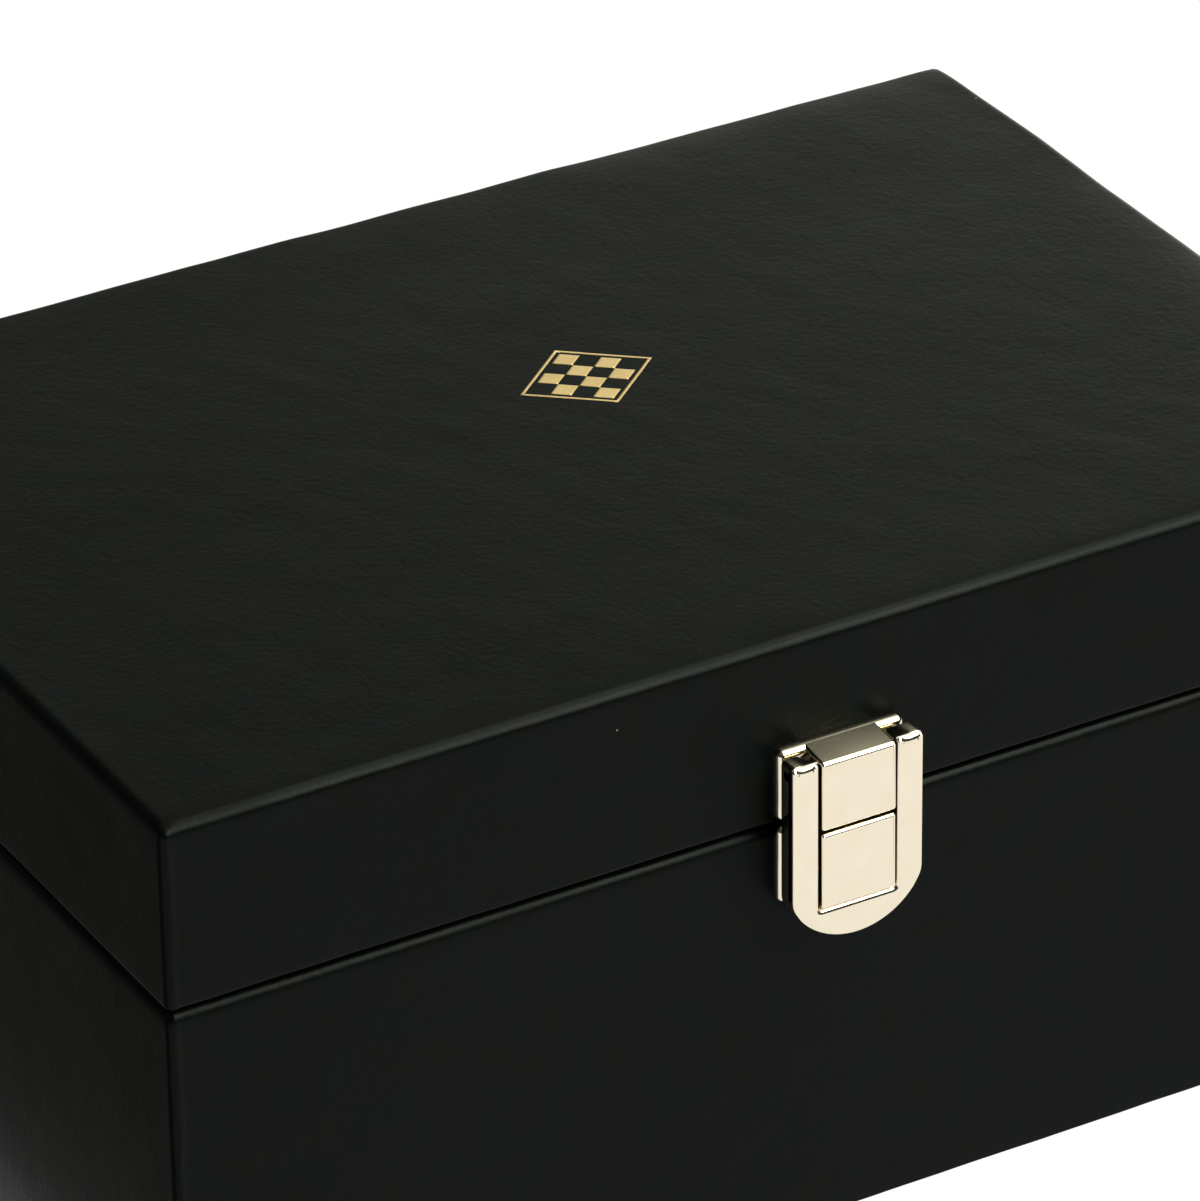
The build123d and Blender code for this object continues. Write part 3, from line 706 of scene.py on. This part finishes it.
# The catch
# Cast zinc with a polished champagne nickel plate: a plate and block on the lid, another on
# the base, and a flap that hangs on a pin through the upper block and snaps over the lower.
def champagne_plate():
    """Polished champagne nickel: a warm pale mirror with faint swirls and orange peel."""
    material, tree, place = new_material("champagne_plate")
    peel = add(tree, "ShaderNodeTexNoise", {"Vector": place, "Scale": 1 / (2.5 * MM),
                                            "Detail": 1.0})
    haze = add(tree, "ShaderNodeTexNoise", {"Vector": place, "Scale": 1 / (6.0 * MM),
                                            "Detail": 3.0})
    colour = add(tree, "ShaderNodeMix", {0: haze, 6: "E6DAC2", 7: "EFE5D0"}, data_type="RGBA")
    rough = add(tree, "ShaderNodeMapRange", {0: haze, 3: 0.10, 4: 0.17})
    bump = add(tree, "ShaderNodeBump", {"Height": peel, "Strength": 0.5, "Distance": 0.012 * MM})
    shader = add(tree, "ShaderNodeBsdfPrincipled",
                 {"Base Color": colour, "Metallic": 1.0, "Roughness": rough, "Normal": bump})
    add(tree, "ShaderNodeOutputMaterial", {"Surface": shader})
    return material


def rounded_outline(corners):
    """A closed outline through corners, each given as x, z and the radius of its rounding.
    A rounded corner is an arc that touches both of its sides."""
    found = []
    count = len(corners)
    for k, (x, z, radius) in enumerate(corners):
        here = np.array([x, z])
        before = np.array(corners[k - 1][:2]) - here
        after = np.array(corners[(k + 1) % count][:2]) - here
        before /= np.linalg.norm(before)
        after /= np.linalg.norm(after)
        if radius <= 0:
            found.append([here])
            continue
        half = math.acos(np.clip(before @ after, -1, 1)) / 2
        middle = (before + after) / np.linalg.norm(before + after)
        centre = here + middle * radius / math.sin(half)
        first = here + before * radius / math.tan(half) - centre
        last = here + after * radius / math.tan(half) - centre
        a0 = math.atan2(first[1], first[0])
        sweep_angle = (math.atan2(last[1], last[0]) - a0 + math.pi) % (2 * math.pi) - math.pi
        angle = a0 + sweep_angle * np.linspace(0, 1, max(3, int(abs(sweep_angle) / 0.2)) + 1)
        found.append(centre + radius * np.stack([np.cos(angle), np.sin(angle)], 1))
    return np.concatenate(found)


def inward_normals(outline):
    """At each point of an anticlockwise outline, the step inwards that keeps the offset
    lines parallel to its sides."""
    ahead = np.roll(outline, -1, 0) - outline
    ahead /= np.linalg.norm(ahead, axis=1, keepdims=True)
    behind = np.roll(ahead, 1, 0)
    first = np.stack([-behind[:, 1], behind[:, 0]], 1)
    second = np.stack([-ahead[:, 1], ahead[:, 0]], 1)
    total = first + second
    return total * 2 / np.maximum((total ** 2).sum(1, keepdims=True), 0.8)


def pressed(outline, y_back, y_front, rounding, steps=6):
    """A flat form with an outline in X and Z: a wall from the back, a front edge rounded by
    a quarter circle, and flat caps. Rounding is one radius, or one for each point."""
    outline = np.asarray(outline)
    radius = np.broadcast_to(rounding, len(outline))[:, None]
    inward = inward_normals(outline)
    support = 0.03 * MM
    rings = [(0, np.full(len(outline), y_back)), (0, np.full(len(outline), y_back - support))]
    for angle in np.linspace(0, math.pi / 2, steps + 1):
        rings.append((radius * (1 - math.cos(angle)),
                      y_front + radius[:, 0] * (1 - math.sin(angle))))
    rings.append((radius + support, np.full(len(outline), y_front)))
    points = []
    for offset, y in rings:
        flat = outline + inward * offset
        points.append(np.stack([flat[:, 0], y, flat[:, 1]], 1))
    count = len(outline)
    faces = quads(len(rings), count, False).tolist()
    faces.append(list(range(count))[::-1])
    faces.append([(len(rings) - 1) * count + k for k in range(count)])
    return np.concatenate(points), faces


def joined(*forms):
    """Several closed forms as one list of points and faces."""
    points = []
    faces = []
    start = 0
    for form_points, form_faces in forms:
        points.append(form_points)
        faces += [[k + start for k in face] for face in form_faces]
        start += len(form_points)
    return np.concatenate(points), faces


def rectangle(x0, x1, z0, z1, radius):
    """An anticlockwise rectangle, seen from the front, with rounded corners."""
    return rounded_outline([(x0, z0, radius), (x1, z0, radius), (x1, z1, radius),
                            (x0, z1, radius)])


CASE_FRONT = -half_y
PLATE_THICKNESS = 1.8 * MM
PLATE_EDGE = 1.55 * MM
PLATE_CORNER = 1.4 * MM
BLOCK_HALF = 8.4 * MM
BLOCK_EDGE = 0.40 * MM
BLOCK_TOP_EDGE = 0.85 * MM
BLOCK_CORNER = 0.6 * MM
BLOCK_DROP = 1.0 * MM
BLOCK_SLOPE = 1.0 * MM
BLOCK_TOP_BAND = 1.2 * MM
BLOCK_SLOPE_BAND = 3 * MM
SEAM_HALF = 0.45 * MM
UPPER_PLATE_LIFT = 0.35 * MM
LOWER_PLATE_DROP = 0.4 * MM
LOWER_BLOCK_LIFT = 0.2 * MM
plate_metal = champagne_plate()
upper_low, upper_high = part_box("latch_upper_plate")
lower_low, lower_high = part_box("latch_lower_plate")
seam_z = (base_high.z + lid_low.z) / 2


def catch_block(z0, z1, y_front, slope):
    """A block that stands on its plate, with a full round along its top front edge and a
    small one along the others. Its top slopes up towards the case."""
    outline = rectangle(-BLOCK_HALF, BLOCK_HALF, z0, z1, BLOCK_CORNER)
    high = np.clip((outline[:, 1] - z1 + BLOCK_TOP_BAND) / BLOCK_TOP_BAND, 0, 1)
    points, faces = pressed(outline, CASE_FRONT, y_front,
                            BLOCK_EDGE + (BLOCK_TOP_EDGE - BLOCK_EDGE) * high)
    rise = slope * (points[:, 1] - y_front) / (CASE_FRONT - y_front)
    points[:, 2] += rise * np.clip((points[:, 2] - z1 + BLOCK_SLOPE_BAND) / BLOCK_SLOPE_BAND, 0, 1)
    return points, faces


def catch_plate(z0, z1):
    """A rounded plate behind a block."""
    outline = rectangle(-upper_high.x, upper_high.x, z0, z1, PLATE_CORNER)
    return pressed(outline, CASE_FRONT, CASE_FRONT - PLATE_THICKNESS, PLATE_EDGE)


flap_low, flap_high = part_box("latch_flap")
piece("catch_upper_block",
      *joined(catch_plate(upper_low.z + UPPER_PLATE_LIFT, upper_high.z),
              catch_block(seam_z + SEAM_HALF, upper_high.z - BLOCK_DROP, upper_low.y,
                          BLOCK_SLOPE)),
      plate_metal, "lid", "plated_zinc", "latch_upper_plate")
piece("catch_lower_block",
      *joined(catch_plate(lower_low.z - LOWER_PLATE_DROP, base_high.z - LOWER_PLATE_DROP),
              catch_block(lower_low.z + LOWER_BLOCK_LIFT, seam_z - SEAM_HALF, lower_low.y, 0)),
      plate_metal, "base", "plated_zinc", "latch_lower_plate")

BOW_RADIUS = 16.4 * MM
BOW_CORNER = 5.5 * MM
BOW_TURN = 1.9 * MM
BOW_STEPS = 28
WINDOW_HALF = 9.0 * MM
WINDOW_CORNER = 0.9 * MM
FACE_THICKNESS = 1.9 * MM
LEG_FRONT = 0.7 * MM
SILL_GAP = 0.3 * MM
EAR_CORNER = 1.0 * MM
FLAP_EDGE = 0.5 * MM
EAR_EDGE = 1.2 * MM
EAR_CROWN = 0.8 * MM
EAR_BAND = 0.9 * MM
EAR_FADE = 0.6 * MM
SILL_EDGE = 1.7 * MM
sill_z = lower_low.z + LOWER_BLOCK_LIFT - SILL_GAP


def bow_height(x):
    """Height of the flap's lower edge, which is one wide arc."""
    return flap_low.z + BOW_RADIUS - np.sqrt(BOW_RADIUS ** 2 - x ** 2)


def bow(x0, x1, count):
    """Points of the flap's lower edge from x0 to x1."""
    x = np.linspace(x0, x1, count)
    return np.stack([x, bow_height(x)], 1)


def flap_face():
    """The flap's outline: two ears, straight sides, and a bow below the window."""
    side = flap_high.x
    turn = side - BOW_TURN
    z_side = bow_height(side)
    lower_left = rounded_outline([(-side, z_side + 9 * MM, 0), (-side, z_side, BOW_CORNER),
                                  (-turn, bow_height(turn), 0)])[1:-1]
    lower_right = lower_left[::-1] * [-1, 1]
    upper = rounded_outline([(side, sill_z + 9 * MM, 0), (side, flap_high.z, EAR_CORNER),
                             (WINDOW_HALF, flap_high.z, EAR_CORNER),
                             (WINDOW_HALF, sill_z, WINDOW_CORNER),
                             (-WINDOW_HALF, sill_z, WINDOW_CORNER),
                             (-WINDOW_HALF, flap_high.z, EAR_CORNER),
                             (-side, flap_high.z, EAR_CORNER), (-side, sill_z + 9 * MM, 0)])
    return np.concatenate([lower_left, bow(-turn, turn, BOW_STEPS), lower_right, upper])


def flap_leg(sign):
    """The deep part behind the flap's face, on one side of the window."""
    side = flap_high.x
    turn = side - BOW_TURN
    corner = rounded_outline([(turn, bow_height(turn), 0), (side, bow_height(side), BOW_CORNER),
                              (side, flap_high.z, EAR_CORNER), (WINDOW_HALF, flap_high.z, 0.0)])
    outline = np.concatenate([bow(WINDOW_HALF, turn, 8), corner[1:]])
    if sign < 0:
        outline = outline[::-1] * [-1, 1]
    return pressed(outline, flap_high.y, flap_low.y + LEG_FRONT, 0.05 * MM, 2)


def flap_rounding(outline):
    """How far the flap's front edge is rounded: little along its sides and bow, more along
    the window's sill, and most in the middle of the ears' tops, which are crowned."""
    x, z = np.abs(outline[:, 0]), outline[:, 1]
    middle = (flap_high.x + WINDOW_HALF) / 2
    across = np.clip(1 - ((x - middle) / (flap_high.x - middle)) ** 2, 0, 1)
    ear = np.clip((z - flap_high.z + EAR_BAND) / EAR_FADE, 0, 1)
    sill = (x < WINDOW_HALF + 0.01 * MM) & (np.abs(z - sill_z) < 0.5 * MM)
    return np.where(sill, SILL_EDGE, FLAP_EDGE + ear * (EAR_EDGE - FLAP_EDGE + EAR_CROWN * across))


def with_ear_tops(outline, steps=7):
    """The outline with more points along the ears' tops, for their crown."""
    along = np.roll(outline, -1, 0) - outline
    split = outline[:, None] + along[:, None] * np.linspace(0, 1, steps + 1)[:-1, None]
    on_top = np.minimum(split[:, 0, 1], split[:, 0, 1] + along[:, 1]) > flap_high.z - 0.01 * MM
    keep = np.repeat((on_top & (np.abs(along[:, 0]) > 2 * MM))[:, None], steps, 1)
    keep[:, 0] = True
    return split[keep]


face_outline = with_ear_tops(flap_face())
face_rounding = flap_rounding(face_outline)
piece("catch_flap",
      *joined(pressed(face_outline, flap_low.y + FACE_THICKNESS, flap_low.y, face_rounding),
              flap_leg(-1), flap_leg(1)),
      plate_metal, "flap", "plated_zinc", "latch_flap")
dress(["latch_pin", "latch_lower_nails", "latch_upper_nails", "latch_spring_rivets"], plate_metal)


# The snap spring
# A leaf of hard steel strip riveted inside the flap's bar. Its lip catches under the lower
# block, and bends over it when the lid is pulled up.
def drawn_steel():
    """Drawn steel: cool grey, with fine lines along the strip."""
    material, tree, place = new_material("drawn_steel")
    stretched = add(tree, "ShaderNodeMapping", {"Vector": place, "Scale": (1.0, 12.0, 12.0)})
    lines = add(tree, "ShaderNodeTexNoise", {"Vector": stretched,
                                             "Scale": 1 / (4.0 * MM), "Detail": 3.0})
    colour = add(tree, "ShaderNodeMix", {0: lines, 6: "8E8E8C", 7: "B4B4B0"}, data_type="RGBA")
    rough = add(tree, "ShaderNodeMapRange", {0: lines, 3: 0.25, 4: 0.42})
    shader = add(tree, "ShaderNodeBsdfPrincipled",
                 {"Base Color": colour, "Metallic": 1.0, "Roughness": rough})
    add(tree, "ShaderNodeOutputMaterial", {"Surface": shader})
    return material


dress(["latch_snap_spring", "left_hinge_pin", "right_hinge_pin"], drawn_steel())


# The hinges
# Two stamped leaf hinges on the back, plated like the catch but satin, each with three screws
# through each leaf and a heel that stops the lid just past upright.
def satin_plate():
    """Barrelled champagne plate on stamped steel: satin, with soft wear."""
    material, tree, place = new_material("satin_plate")
    wear = add(tree, "ShaderNodeTexNoise", {"Vector": place, "Scale": 1 / (5.0 * MM),
                                            "Detail": 4.0})
    colour = add(tree, "ShaderNodeMix", {0: wear, 6: "C9B78F", 7: "E3D4B2"}, data_type="RGBA")
    rough = add(tree, "ShaderNodeMapRange", {0: wear, 3: 0.24, 4: 0.38})
    bump = add(tree, "ShaderNodeBump", {"Height": wear, "Strength": 0.3, "Distance": 0.03 * MM})
    shader = add(tree, "ShaderNodeBsdfPrincipled",
                 {"Base Color": colour, "Metallic": 1.0, "Roughness": rough, "Normal": bump})
    add(tree, "ShaderNodeOutputMaterial", {"Surface": shader})
    return material


dress([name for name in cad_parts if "_leaf" in name or "screws" in name], satin_plate())


# The lining
# Dark red velour on card: a short pile that darkens where it leans and glows along its
# edges. It covers the floors, the walls, the dividers and the tray.
def red_velour():
    """Red velour: pile of 0.5 mm with a strong sheen, brushed in broad patches."""
    material, tree, place = new_material("red_velour")
    brushed = add(tree, "ShaderNodeTexNoise", {"Vector": place, "Scale": 1 / (22.0 * MM),
                                               "Detail": 3.0})
    pile = add(tree, "ShaderNodeTexNoise", {"Vector": place, "Scale": 1 / (0.5 * MM),
                                            "Detail": 2.0})
    leaning = add(tree, "ShaderNodeMapRange", {0: brushed, 1: 0.35, 2: 0.65})
    colour = add(tree, "ShaderNodeMix", {0: leaning, 6: "4A0A12", 7: "6E121C"}, data_type="RGBA")
    bump = add(tree, "ShaderNodeBump", {"Height": pile, "Strength": 0.8, "Distance": 0.15 * MM})
    shader = add(tree, "ShaderNodeBsdfPrincipled",
                 {"Base Color": colour, "Roughness": 0.95, "Specular IOR Level": 0.2,
                  "Sheen Weight": 0.6, "Sheen Roughness": 0.4, "Sheen Tint": "C2505C",
                  "Normal": bump})
    add(tree, "ShaderNodeOutputMaterial", {"Surface": shader})
    return material


velour = red_velour()
dress([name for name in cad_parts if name.startswith("lower_") or (
    name.startswith("tray_") and "ribbon" not in name)], velour)


CROWN_REACH = 9 * MM
SLAB_UNEVENNESS = 0.04 * MM
BAND_THICKNESS = 1.0 * MM
BAND_EDGE = 0.35 * MM
BAND_BACK = 0.02 * MM


def slab(name, node, corner, edge, crown, material, body, slot_name, seed, press=None):
    """A thin flat piece in the place of a CAD node: its two faces are rounded rectangles
    drawn in to their middle line, joined by a half-round edge. It may be crowned on the
    side that faces down, by an amount that falls to nothing at its edges, and pressed down
    on its upper side, by an amount that depends on the place."""
    low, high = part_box(node)
    hx = (high.x - low.x) / 2
    hy = (high.y - low.y) / 2
    inner = min(hx, hy)
    rows = np.concatenate([
        [(inner, high.z, 0, 1)],
        run_profile(inner, high.z, edge, high.z, 0, 1, 16),
        bend_profile(edge, high.z - edge, edge, 90, 0, 4),
        bend_profile(edge, low.z + edge, edge, 0, -90, 4),
        run_profile(edge, low.z, inner, low.z, 0, -1, 24),
        [(inner, low.z, 0, -1)],
    ])
    found, facing = sweep(rows, hx, hy, corner)
    to_edge = np.minimum(hx - np.abs(found[..., 0]), hy - np.abs(found[..., 1]))
    drawn_in = crown * np.exp(-np.maximum(to_edge, 0) / CROWN_REACH)
    lower = facing[..., 2] < -0.5
    found[..., 2] += np.where(lower, drawn_in, 0)
    uneven = SLAB_UNEVENNESS * waves(found, 30 * MM, seed)
    found[..., 2] += np.where(lower & (to_edge > 2 * MM), uneven, 0)
    if press:
        found[..., 2] -= press(found) * (found[..., 2] - low.z) / (high.z - low.z)
    return piece(name, found, quads(*found.shape[:2], False), material, body, slot_name, node)


slab("base_floor_velour", "base_floor_lining", 1 * MM, 0.4 * MM, 0, velour, "base",
     "velvet_lining", 41)
slab("tray_floor_velour", "tray_floor_lining", 1 * MM, 0.4 * MM, 0, velour, "tray",
     "velvet_lining", 43)
lid_pad = slab("lid_lining_cushion", "lid_lining_pad", 1 * MM, 0.9 * MM, 2.2 * MM, velour,
               "lid", "velvet_lining", 47)


def wall_lining(name, node, body):
    """A band of covered card round the inside walls, with rounded long edges."""
    low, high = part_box(node)
    thick, edge = BAND_THICKNESS, BAND_EDGE
    rows = np.concatenate([
        bend_profile(thick - edge, low.z + edge, edge, -90, -180, 3),
        run_profile(thick, low.z + edge, thick, high.z - edge, -1, 0, 12),
        bend_profile(thick - edge, high.z - edge, edge, 180, 90, 3),
        [(BAND_BACK, high.z, 0, 1)],
        [(BAND_BACK, low.z, 0, -1)],
    ])
    found, _ = sweep(rows, high.x, high.y, 0.0)
    return piece(name, found, quads(*found.shape[:2], True), velour, body, "velvet_lining", node)


wall_lining("base_wall_velour", "base_wall_lining", "base")
wall_lining("lid_wall_velour", "lid_wall_lining", "lid")


# The foam
# A thin sheet of pale open-cell foam, cut to the lid's top board and glued to it. It makes
# the lid soft under its covering, and rounds its top edges.
def pale_foam():
    """Open-cell foam: cells of 0.6 mm, matt and pale."""
    material, tree, place = new_material("pale_foam")
    cells = add(tree, "ShaderNodeTexVoronoi", {"Vector": place, "Scale": 1 / (0.6 * MM)})
    colour = add(tree, "ShaderNodeMix", {0: cells, 6: "C9C4B4", 7: "E2DDCF"}, data_type="RGBA")
    bump = add(tree, "ShaderNodeBump", {"Height": cells, "Strength": 0.6, "Distance": 0.2 * MM})
    shader = add(tree, "ShaderNodeBsdfPrincipled",
                 {"Base Color": colour, "Roughness": 0.9, "Normal": bump})
    add(tree, "ShaderNodeOutputMaterial", {"Surface": shader})
    return material


foam = slab("lid_foam_sheet", "lid_foam_pad", 2.2 * MM, 1.1 * MM, 0, pale_foam(), "lid", "foam",
            59, drawn_down)


# The foot
# A sheet of black felt paper under the bottom, cut to lie inside the turned-under edge of
# the leatherette, and glued to the board.
def black_felt():
    """Felt paper: short tangled fibres, quite matt."""
    material, tree, place = new_material("black_felt")
    fibres = add(tree, "ShaderNodeTexNoise", {"Vector": place, "Scale": 1 / (0.7 * MM),
                                              "Detail": 5.0, "Roughness": 0.7})
    colour = add(tree, "ShaderNodeMix", {0: fibres, 6: "121312", 7: "242524"}, data_type="RGBA")
    bump = add(tree, "ShaderNodeBump", {"Height": fibres, "Strength": 0.9, "Distance": 0.2 * MM})
    shader = add(tree, "ShaderNodeBsdfPrincipled",
                 {"Base Color": colour, "Roughness": 0.95, "Specular IOR Level": 0.15,
                  "Sheen Weight": 0.2, "Normal": bump})
    add(tree, "ShaderNodeOutputMaterial", {"Surface": shader})
    return material


slab("foot_felt_sheet", "base_foot_sheet", 2 * MM, 0.3 * MM, 0, black_felt(), "base",
     "foot_felt", 61)


# The ribbons
# A loop of red satin ribbon at each end of the tray, to lift it by. Each is one strip, folded
# over the tray's end wall and glued to both its faces.
RIBBON_THICKNESS = 0.5 * MM
RIBBON_STEPS = 20
RIB_SCALE = 125  # of the wave texture: a rib every 2.5 mm


def satin_ribbon():
    """Woven satin: a long soft gloss, and ribs across the ribbon, drawn coarser than the
    real ones so that they show."""
    material, tree, place = new_material("satin_ribbon")
    ribs = add(tree, "ShaderNodeTexWave", {"Vector": place, "Scale": RIB_SCALE},
               bands_direction="Z")
    colour = add(tree, "ShaderNodeMix",
                 {0: ribs.outputs["Fac"], 6: "7A0F1B", 7: "93182A"}, data_type="RGBA")
    bump = add(tree, "ShaderNodeBump", {"Height": ribs.outputs["Fac"], "Strength": 0.4,
                                        "Distance": 0.05 * MM})
    shader = add(tree, "ShaderNodeBsdfPrincipled",
                 {"Base Color": colour, "Roughness": 0.45, "Specular IOR Level": 0.25,
                  "Normal": bump})
    add(tree, "ShaderNodeOutputMaterial", {"Surface": shader})
    return material


def ribbon(name, node, material):
    """A ribbon along a hoop: up one face of the wall, over in a half circle, and down the
    other face. Across its width it is flat."""
    low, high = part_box(node)
    middle = (low.x + high.x) / 2
    bend = (high.x - low.x) / 2 - RIBBON_THICKNESS / 2
    crest = high.z - RIBBON_THICKNESS / 2 - bend
    leg = np.linspace(low.z, crest, 14)[:-1]
    angle = np.linspace(math.pi, 0, 17)
    line_x = np.concatenate([np.full_like(leg, -bend), bend * np.cos(angle),
                             np.full_like(leg, bend)])
    line_z = np.concatenate([leg, crest + bend * np.sin(angle), leg[::-1]])
    out_x = np.concatenate([np.full_like(leg, -1), np.cos(angle), np.full_like(leg, 1)])
    out_z = np.concatenate([np.zeros_like(leg), np.sin(angle), np.zeros_like(leg)])
    width = np.linspace(low.y, high.y, RIBBON_STEPS)
    around_y = np.concatenate([width, width[::-1]])
    around_t = np.repeat([RIBBON_THICKNESS / 2, -RIBBON_THICKNESS / 2], RIBBON_STEPS)
    found = np.stack([
        middle + line_x[:, None] + out_x[:, None] * around_t[None, :],
        np.broadcast_to(around_y, (len(line_x), len(around_y))),
        line_z[:, None] + out_z[:, None] * around_t[None, :]], 2)
    rows, columns = found.shape[:2]
    faces = quads(rows, columns, False).tolist()
    faces.append(list(range(columns)))
    faces.append([(rows - 1) * columns + k for k in range(columns)][::-1])
    made = piece(name, found, faces, material, "tray", "ribbon", node)
    return made


ribbon_cloth = satin_ribbon()
ribbon("left_pull_ribbon", "tray_left_ribbon", ribbon_cloth)
ribbon("right_pull_ribbon", "tray_right_ribbon", ribbon_cloth)
